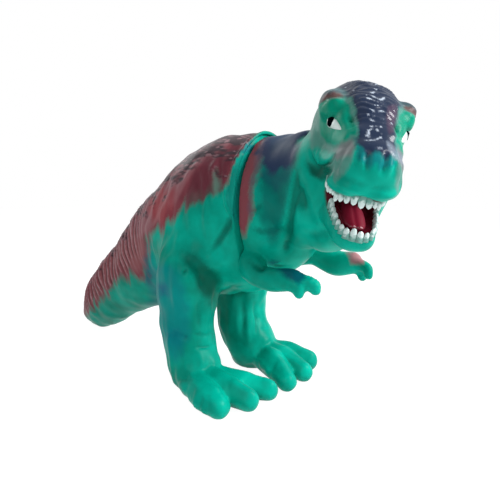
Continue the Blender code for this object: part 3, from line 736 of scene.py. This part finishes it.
def paintRear():
    points, normals = readPoints(rear.data)
    masks = sprayMasks(points, toNearSide(points), rearPaint)
    above = easeStep(-0.6, -0.15, normals[:, 2] + 0.3 * (cloud(points, (4, 3, 8), 8) - 0.5))
    tip = easeStep(0.142, 0.152, points[:, 1])
    masks["maroon"] = np.maximum(masks["maroon"], tip)
    for name in ("maroon", "darkMaroon", "mauve", "red", "salmon"):
        masks[name] *= above
    broken = 0.5 * cloud(points, (3, 9, 3), 23) + 0.3 * cloud(points, (1.4, 4, 1.4), 24) - 0.4
    masks["crest"] = easeStep(0.88, 0.56, offBack + broken) * easeStep(0.0, 0.4, normals[:, 2]) * masks["maroon"]
    masks["finger"] *= 1 - masks["crest"]
    behind, wide = seamBand(points)
    masks["band"] = easeStep(wide + 0.0004, wide - 0.0002, behind) * easeStep(0.097, 0.101, points[:, 2])
    masks["bandBlue"] = masks["band"] * easeStep(0.136, 0.14, points[:, 2] + 0.006 * cloud(points, (3, 3, 3), 21))
    fine = cloud(points, (1.3, 1.3, 1.3), 9)
    # Painted shade in the valleys between the tail's rings.
    masks["valleyShade"] = easeStep(0.5, 0.1, ridge) * easeStep(0.2, 0.6, ringsWhere) * masks["maroon"]
    # Lighter paint on the ring ridges and flecks along the crest: dry-brushed paint, and partly a painted highlight
    # on the ridge tops.
    brushedAndLitRidges = easeStep(0.7, 0.95, ridge + 0.4 * (fine - 0.5)) * easeStep(0.15, 0.5, ringsWhere)
    flecks = easeStep(0.62, 0.8, cloud(points, (1.2, 3.4, 1.0), 22)) * masks["crest"]
    masks["dryBrushAndHighlight"] = np.maximum(brushedAndLitRidges, 0.7 * flecks) * easeStep(0.5, 0.9, masks["maroon"])
    writeLayers(rear.data, masks)


def paintFront():
    points = readPoints(front.data)[0]
    left, back, up = toHead(points).T
    wide = np.abs(left)
    masks = sprayMasks(points, toNearSide(points), frontPaint)
    body = 1 - easeStep(0.62, 0.5, back) * easeStep(-1.15, -1.0, up) * easeStep(0.44, 0.34, wide)
    for name in ("deepTeal", "tealFade", "greyGreen", "maroon", "maroonFade", "navy"):
        masks[name] *= body
    masks["wrist"] *= points[:, 0] > figure["originSide"] + 0.012
    masks["forearm"] *= points[:, 0] < figure["originSide"] - 0.012
    face = sprayMasks(points, toNearCheek(points), headPaint)
    onFace = easeStep(-0.45, -0.36, up) * easeStep(0.8, 0.6, back) * easeStep(0.5, 0.44, wide)
    onTop = easeStep(-0.24, -0.12, up)
    for name, values in face.items():
        masks[name] = values * (onTop if name == "headNavy" else onFace)
    masks["mist"] *= 1 - masks["mound"]
    masks["farMauve"] *= left > 0.05
    masks["farDark"] *= left > 0.05
    # Pale dashes on the crown's scale ridges: dry-brushed paint, and partly a painted highlight on the scale tops.
    flecks = cloud(points, (1.2, 1.2, 1.2), 13) + 0.34 * easeStep(0.08, 0.03, np.abs(left + 0.01))
    brushedAndLitRidges = easeStep(0.6, 0.92, scaleRidge(points, back)) * easeStep(0.8, 0.96, flecks)
    masks["dryBrushAndHighlight"] = brushedAndLitRidges * easeStep(-0.15, 0.0, up) * np.maximum(masks["headNavy"], 0.8 * masks["browRed"])
    deep = np.interp(back, (-0.42, -0.15), (0.0009, 0.003))
    masks["mouthRed"] = easeStep(deep, 0.5 * deep, mouthGap) * (up > -0.8)
    writeLayers(front.data, masks)


paintRear()
paintFront()
print("painted")


# Materials
def fromHex(text):
    value = np.array([int(text[i:i + 2], 16) for i in (1, 3, 5)]) / 255
    linear = np.where(value <= 0.04045, value / 12.92, ((value + 0.055) / 1.055) ** 2.4)
    return (*linear.tolist(), 1.0)


# Adds a node, sets its properties, gives its inputs values or links, and returns its first output.
def addNode(tree, kind, inputs=None, output=0, **settings):
    node = tree.nodes.new("ShaderNode" + kind)
    for key, value in settings.items():
        setattr(node, key, value)
    for key, value in (inputs or {}).items():
        socket = node.inputs[key]
        if isinstance(value, bpy.types.NodeSocket):
            tree.links.new(value, socket)
        else:
            socket.default_value = value
    return node.outputs[output] if node.outputs else node


def newMaterial(name):
    made = bpy.data.materials.new(name)
    made.use_nodes = True
    made.node_tree.nodes.clear()
    return made, made.node_tree


def finishMaterial(tree, inputs):
    shader = addNode(tree, "BsdfPrincipled", inputs)
    addNode(tree, "OutputMaterial", {"Surface": shader})


# Soft vinyl cast in a mould, sprayed by hand in thin matt coats: a broad soft gloss, and edges of fine specks.
vinylLook = {"green": "#00A892", "greenDeep": "#008A76", "roughness": 0.36, "ior": 1.45,
             "specular": 0.06, "speckMm": 1.1, "grainMm": 0.9, "cloudsPerMetre": 60.0, "headCoat": 0.22}
# Colours laid over the green in turn. The darkest greens, over the carved grooves and on the belly under the thigh,
# are painted shade, and so is the dark maroon in the valleys between the tail's rings.
rearLayers = (
    ("shade", "#006B54", 0.6), ("crease", "#004A3C", 0.65), ("blueMist", "#007C88", 0.55),
    ("blueDeep", "#0B4A66", 0.7), ("purple", "#2C3A78", 0.6), ("blueShin", "#006E80", 0.45),
    ("maroon", "#7A3E47", 1.0), ("mauve", "#94666C", 0.7), ("darkMaroon", "#5F2C37", 0.85),
    ("red", "#96383F", 0.7), ("salmon", "#91585A", 0.6), ("crest", "#33272F", 0.95),
    ("valleyShade", "#431E26", 0.75), ("finger", "#5A8F80", 0.6), ("band", "#0A8F80", 1.0),
    ("bandBlue", "#1F6078", 0.5))
# The darkest greens, over the carved grooves and in the hollow under the cheek's hook, are painted shade.
frontLayers = (
    ("crease", "#004A3C", 0.65), ("deepTeal", "#005C58", 0.75), ("tealFade", "#0C5059", 0.7),
    ("greyGreen", "#476A66", 0.9), ("maroon", "#7C4048", 1.0), ("maroonFade", "#564C58", 0.7),
    ("navy", "#22304F", 0.97), ("forearm", "#004A5C", 0.9), ("wrist", "#B85C6E", 0.75),
    ("recess", "#00493C", 0.75), ("mist", "#5A7F78", 0.7), ("mound", "#007B5B", 0.55),
    ("nosePink", "#80757C", 0.65), ("browWash", "#46545F", 0.85), ("browRed", "#5F3A3C", 0.85),
    ("noseFade", "#0B6670", 0.75), ("headNavy", "#16253E", 1.0), ("farMauve", "#737E8C", 0.75),
    ("farDark", "#3A2740", 0.8), ("mouthRed", "#4A0D19", 1.0))


# Each layer's mask, with fine noise on its edge, mixes its colour over what is below it.
def vinylPaint(name, layers, dryBrushAndHighlightTint):
    made, tree = newMaterial(name)
    place = addNode(tree, "TexCoord", output=3)
    broad = addNode(tree, "TexNoise", {"Vector": place, "Scale": vinylLook["cloudsPerMetre"], "Detail": 3.0})
    specks = addNode(tree, "TexNoise", {"Vector": place, "Scale": 1000 / vinylLook["speckMm"], "Detail": 3.0})
    lift = addNode(tree, "MapRange", {"Value": broad, "From Min": 0.35, "From Max": 0.65})
    colour = addNode(tree, "Mix", {"Factor": lift, "A": fromHex(vinylLook["greenDeep"]),
                                   "B": fromHex(vinylLook["green"])}, 2, data_type="RGBA")
    gloss = addNode(tree, "Math", {0: broad, 1: 0.08, 2: vinylLook["roughness"] - 0.04}, operation="MULTIPLY_ADD")
    offset = addNode(tree, "Math", {0: specks, 1: 0.5}, operation="SUBTRACT")
    for layer, tint, strength in layers:
        mask = addNode(tree, "Attribute", output=2, attribute_name=layer)
        broken = addNode(tree, "Math", {0: offset, 1: 0.4, 2: mask}, operation="MULTIPLY_ADD")
        edge = addNode(tree, "MapRange", {"Value": broken, "From Min": 0.15, "From Max": 0.85, "To Max": strength})
        colour = addNode(tree, "Mix", {"Factor": edge, "A": colour, "B": fromHex(tint)}, 2, data_type="RGBA")
    # Last, the pale layer on ridge tops: dry-brushed paint, and partly a painted highlight.
    dryBrushAndHighlight = addNode(tree, "Attribute", output=2, attribute_name="dryBrushAndHighlight")
    colour = addNode(tree, "Mix", {"Factor": dryBrushAndHighlight, "A": colour, "B": fromHex(dryBrushAndHighlightTint)}, 2, data_type="RGBA")
    grain = addNode(tree, "TexNoise", {"Vector": place, "Scale": 1000 / vinylLook["grainMm"], "Detail": 2.0})
    bump = addNode(tree, "Bump", {"Height": grain, "Strength": 0.12, "Distance": 0.0003})
    shiny = addNode(tree, "Attribute", output=2, attribute_name="headNavy")
    coat = addNode(tree, "Math", {0: shiny, 1: vinylLook["headCoat"]}, operation="MULTIPLY")
    finishMaterial(tree, {"Base Color": colour, "Roughness": gloss, "Normal": bump, "IOR": vinylLook["ior"],
                          "Specular IOR Level": vinylLook["specular"], "Coat Weight": coat, "Coat Roughness": 0.12})
    return made


rear.data.materials.append(vinylPaint("sprayedVinylRear", rearLayers, "#A77F86"))
front.data.materials.append(vinylPaint("sprayedVinylFront", frontLayers, "#BFCBDB"))
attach(rear, "rear")
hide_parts("rear_body")
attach(front, "front")
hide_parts("front_body")
print("materials")



# Enamel brushed over the vinyl by hand: smooth, so that the whites and the tongue catch small sharp lights, apart
# from the pupils, which are left dull and read as black.
def enamelPaint(name, tint, rough, shine=0.5):
    made, tree = newMaterial(name)
    finishMaterial(tree, {"Base Color": fromHex(tint), "Roughness": rough, "Specular IOR Level": shine})
    return made


def dressFront(thing, paint):
    thing.data.shade_smooth()
    thing.data.materials.append(paint)
    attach(thing, "front")


# Teeth: blunt pegs along the two rims of the mouth
toothRows = {
    "upperTeeth": {"row": (0.0, 0.205, 0.16, -0.51, -0.33, -0.5, 0.7), "rise": -1, "pitch": 0.00265, "lean": 0.15,
                   "length": 0.0048, "radius": 0.00155, "sink": 0.0014},
    "lowerTeeth": {"row": (0.06, 0.175, 0.12, -0.34, -0.44, -0.66, 0.86), "rise": 1, "pitch": 0.00265, "lean": 0.1,
                   "length": 0.0045, "radius": 0.0015, "sink": 0.0014},
}

toothLook = {"around": 14, "rise": 9, "taper": 0.3, "wide": 1.05, "deep": 0.8, "rowPower": 0.75, "rowPoints": 400,
             "window": 41, "reach": 0.016, "fall": 0.006, "lengths": (0.78, 1.15), "radii": (0.92, 1.08), "seed": 7}


# A tooth is a profile turned about its axis: the radius is base * (1 - taper * t) * sqrt(1 - t^5), t from root
# to tip.
def toothMesh(seat, aim, forward, length, radius):
    around, rise = toothLook["around"], toothLook["rise"]
    t = np.linspace(0, 1, rise)[:, None]
    a = (2 * pi * np.arange(around) / around)[None, :]
    size = radius * (1 - toothLook["taper"] * t) * np.sqrt(np.clip(1 - t ** 5, 0, 1)) + 1e-6
    side = np.cross(aim, forward)
    side /= np.linalg.norm(side)
    face = np.cross(side, aim)
    points = (seat + (t * length)[..., None] * aim + (size * np.cos(a))[..., None] * side * toothLook["wide"]
              + (size * np.sin(a))[..., None] * face * toothLook["deep"])
    caps = [list(range(around)), list(range((rise - 1) * around, rise * around))[::-1]]
    return points.reshape(-1, 3), ringFaces(rise, around).tolist() + caps


# The U of a row is a squared-off half ellipse in the open mouth; each tooth stands where the skin is above it
# or below it.
def buildTeeth(name, spec, tree, rim):
    middle, halfWide, rearBack, frontBack, cornerUp, frontUp, sweep = spec["row"]
    t = np.linspace(-1, 1, toothLook["rowPoints"]) * sweep * pi / 2
    across, ahead = squareOff(np.sin(t), toothLook["rowPower"]), np.cos(t) ** toothLook["rowPower"]
    curve = fromHead(np.stack((middle + halfWide * across, rearBack + (frontBack - rearBack) * ahead,
                               cornerUp + (frontUp - cornerUp) * ahead), 1))
    upward = np.array(headFrame)[:3, 2] * spec["rise"]
    if spec["rise"] < 0:
        hits = [(tree.ray_cast(Vector(c), Vector(-upward), toothLook["reach"])[0], c) for c in curve]
        found = np.array([h if h is not None else c - upward * toothLook["fall"] for h, c in hits])
    else:
        found = rim[np.linalg.norm(curve[:, None] - rim[None], axis=2).argmin(1)]
    kernel = np.hanning(toothLook["window"])
    kernel /= kernel.sum()
    beside = toothLook["window"] // 2
    padded = np.pad(found, ((beside, beside), (0, 0)), mode="edge")
    path = np.stack([np.convolve(column, kernel, "valid") for column in padded.T], 1)
    along = np.concatenate(([0], np.cumsum(np.linalg.norm(np.diff(path, axis=0), axis=1))))
    count = int(along[-1] / spec["pitch"])
    stops = along[-1] / 2 + spec["pitch"] * (np.arange(count) - (count - 1) / 2)
    seats = np.stack([np.interp(stops, along, column) for column in path.T], 1)
    middlePoint = path.mean(0)
    dice = np.random.default_rng(toothLook["seed"])
    tubes = []
    for seat in seats:
        outward = seat - middlePoint
        outward -= upward * (outward @ upward)
        outward /= np.linalg.norm(outward)
        aim = upward + outward * spec["lean"]
        aim /= np.linalg.norm(aim)
        length = spec["length"] * dice.uniform(*toothLook["lengths"])
        radius = spec["radius"] * dice.uniform(*toothLook["radii"])
        tubes.append(toothMesh(seat - aim * spec["sink"], aim, outward, length, radius))
    return joinTubes(name, tubes)


# Enamel white, brushed by hand, with the green showing at the roots and in spots.
def enamel():
    made, tree = newMaterial("brushedEnamelTeeth")
    place = addNode(tree, "TexCoord", output=3)
    noise = addNode(tree, "TexNoise", {"Vector": place, "Scale": 600.0, "Detail": 3.0})
    root = addNode(tree, "Attribute", output=2, attribute_name="root")
    bare = addNode(tree, "Math", {0: root, 1: 0.75, 2: noise}, operation="MULTIPLY_ADD")
    bare = addNode(tree, "MapRange", {"Value": bare, "From Min": 0.78, "From Max": 1.0, "To Max": 0.85})
    colour = addNode(tree, "Mix", {"Factor": bare, "A": fromHex("#C6D8D6"), "B": fromHex("#2F7F72")}, 2,
                     data_type="RGBA")
    finishMaterial(tree, {"Base Color": colour, "Roughness": 0.35})
    return made


def dressTeeth():
    points = readPoints(front.data)[0]
    tree = skinTree(front)
    rim = points[(mouthGap > 0.0003) & (mouthGap < 0.0012)]
    back, up = toHead(rim).T[1:]
    rim = rim[up < -0.33 + 0.35 * back]
    paint = enamel()
    for name, spec in toothRows.items():
        row = buildTeeth(name, spec, tree, rim)
        fade = np.repeat(np.linspace(1, 0, toothLook["rise"]), toothLook["around"])
        writeLayers(row.data, {"root": np.tile(fade, len(row.data.vertices) // len(fade))})
        dressFront(row, paint)


dressTeeth()
print("teeth")

# Eyes: shallow painted lenses laid on the skin, their outlines in pixels of the photograph
eyeLook = {
    "white": (326.4, 124, 327, 118.8, 331, 116.4, 334.5, 117.7, 337.7, 120.8, 342.3, 129.6, 336.9, 130.2, 330.6,
        128.6, 327.6, 127.2),
    "pupil": (329, 122.4, 330.2, 118, 332.6, 116.6, 334.8, 118.2, 333.4, 122.6, 331.2, 126.8, 329.2, 126),
    "lift": {"white": 0.00015, "pupil": 0.0008}, "bulge": {"white": 0.0003, "pupil": 0.0002},
    "rings": 7, "innermost": 0.08, "rimSink": 0.0006,
}

# Tongue: a flat tube on the floor of the mouth
tongueGroove = {"depth": 0.0006, "middle": 0.06, "wide": 0.012}
tongueRows = ((0.05, 0.1, -0.5, 0.07, 0.035), (0.06, -0.05, -0.565, 0.085, 0.036),
              (0.06, -0.17, -0.605, 0.08, 0.03), (0.06, -0.25, -0.615, 0.055, 0.02))


def layTongue():
    tongue = joinTubes("tongue", [tube(rowsOf(tongueRows, figure["head"]), headFrame)])
    points, normals = readPoints(tongue.data)
    off = (toHead(points)[:, 0] - tongueGroove["middle"]) / tongueGroove["wide"]
    groove = tongueGroove["depth"] * np.exp(-off ** 2)
    writePoints(tongue.data, points - normals * groove[:, None])
    dressFront(tongue, enamelPaint("brushedEnamelTongue", "#76142A", 0.35))


layTongue()
print("tongue")


# A dome on an outline: middle + r * (outline - middle) on the skin, lifted by bulge * (1 - r^2).
def buildLens(name, part, tree, mirror, paint):
    outline = pairsOf(eyeLook[part])
    outline = smoothRows(np.vstack((outline, outline[:2])), 6)[:-6]
    middle = outline.mean(0)
    rings = np.linspace(1, eyeLook["innermost"], eyeLook["rings"])[:, None, None]
    pixels = (middle + rings * (outline[:-1] - middle)).reshape(-1, 2)
    skin = onSkin(tree, pixels)
    if mirror:
        skin = fromHead(toHead(skin) * (-1, 1, 1))
    found = [tree.find_nearest(Vector(p))[:2] for p in skin]
    skin = np.array([f[0] for f in found])
    out = np.array([f[1] for f in found]).mean(0)
    out /= np.linalg.norm(out)
    r = np.repeat(rings[:, 0, 0], len(outline) - 1)
    points = skin + (eyeLook["lift"][part] + eyeLook["bulge"][part] * (1 - r ** 2))[:, None] * out
    around = len(outline) - 1
    points[:around] -= out * eyeLook["rimSink"]
    faces = np.roll(ringFaces(len(rings), around)[:, ::-1], 1, axis=1).tolist()
    faces += [list(range(len(points) - around, len(points))), list(range(around))[::-1]]
    thing = meshObject(name, points, faces)
    work = bmesh.new()
    work.from_mesh(thing.data)
    bmesh.ops.recalc_face_normals(work, faces=work.faces)
    work.to_mesh(thing.data)
    work.free()
    dressFront(thing, paint)


def dressEyes():
    tree = skinTree(front)
    white = enamelPaint("brushedEnamelWhite", "#D3E4E1", 0.25, 0.3)
    dark = enamelPaint("brushedEnamelPupil", "#03080E", 0.5, 0.0)
    for side, mirror in (("right", False), ("left", True)):
        buildLens(side + "EyeWhite", "white", tree, mirror, white)
        buildLens(side + "Pupil", "pupil", tree, mirror, dark)


dressEyes()
print("eyes")


# Stage
# 1 for a ray from the camera, in a reflection or through glass, and 0 for the rays that light the scene.
def seenRay(tree):
    paths = tree.nodes.new("ShaderNodeLightPath").outputs
    seen = addNode(tree, "Math", {0: paths["Is Camera Ray"], 1: paths["Is Glossy Ray"]}, operation="MAXIMUM")
    return addNode(tree, "Math", {0: seen, 1: paths["Is Transmission Ray"]}, operation="MAXIMUM")


# Seen by the camera or in a reflection, the floor is part glow and part lit paint, so it is white yet keeps a
# shadow.
def flatPaint(name, tint, glow, share):
    made, tree = newMaterial(name)
    shader = addNode(tree, "BsdfDiffuse", {"Color": fromHex(tint)})
    light = addNode(tree, "Emission", {"Color": (1, 1, 1, 1), "Strength": glow})
    part = addNode(tree, "Math", {0: seenRay(tree), 1: share}, operation="MULTIPLY")
    addNode(tree, "OutputMaterial", {"Surface": addNode(tree, "MixShader", {0: part, 1: shader, 2: light})})
    return made


def buildStage():
    floor = meshObject("floor", [(-4, -4, 0), (4, -4, 0), (4, 4, 0), (-4, 4, 0)], [(0, 1, 2, 3)])
    floor.data.materials.append(flatPaint("mattPaintFloor", "#F4F4F4", 1.2, 0.8))
    world = bpy.data.worlds.new("studio")
    bpy.context.scene.world = world
    world.use_nodes = True
    tree = world.node_tree
    tree.nodes.clear()
    strength = addNode(tree, "MapRange", {"Value": seenRay(tree), "To Min": 0.25, "To Max": 1.0})
    addNode(tree, "OutputWorld", {"Surface": addNode(tree, "Background", {"Color": (1, 1, 1, 1),
                                                                        "Strength": strength})})
    bpy.context.scene.view_settings.view_transform = "Standard"


# place, size and power
lamps = {"key": ((0.34, -0.84, 0.7), 0.4, 16.0), "fill": ((-0.9, -0.3, 0.6), 0.6, 3.0),
         "back": ((0.2, 0.8, 0.7), 0.5, 2.0)}


def buildLamps():
    middle = (Vector(cadBox[0]) + Vector(cadBox[1])) / 2
    for name, (place, size, power) in lamps.items():
        data = bpy.data.lights.new(name, "AREA")
        data.size, data.energy = size, power
        lamp = bpy.data.objects.new(name, data)
        lamp.location = place
        lamp.rotation_euler = (middle - lamp.location).to_track_quat("-Z", "Y").to_euler()
        bpy.context.scene.collection.objects.link(lamp)


buildStage()
buildLamps()
print("stage and lamps")
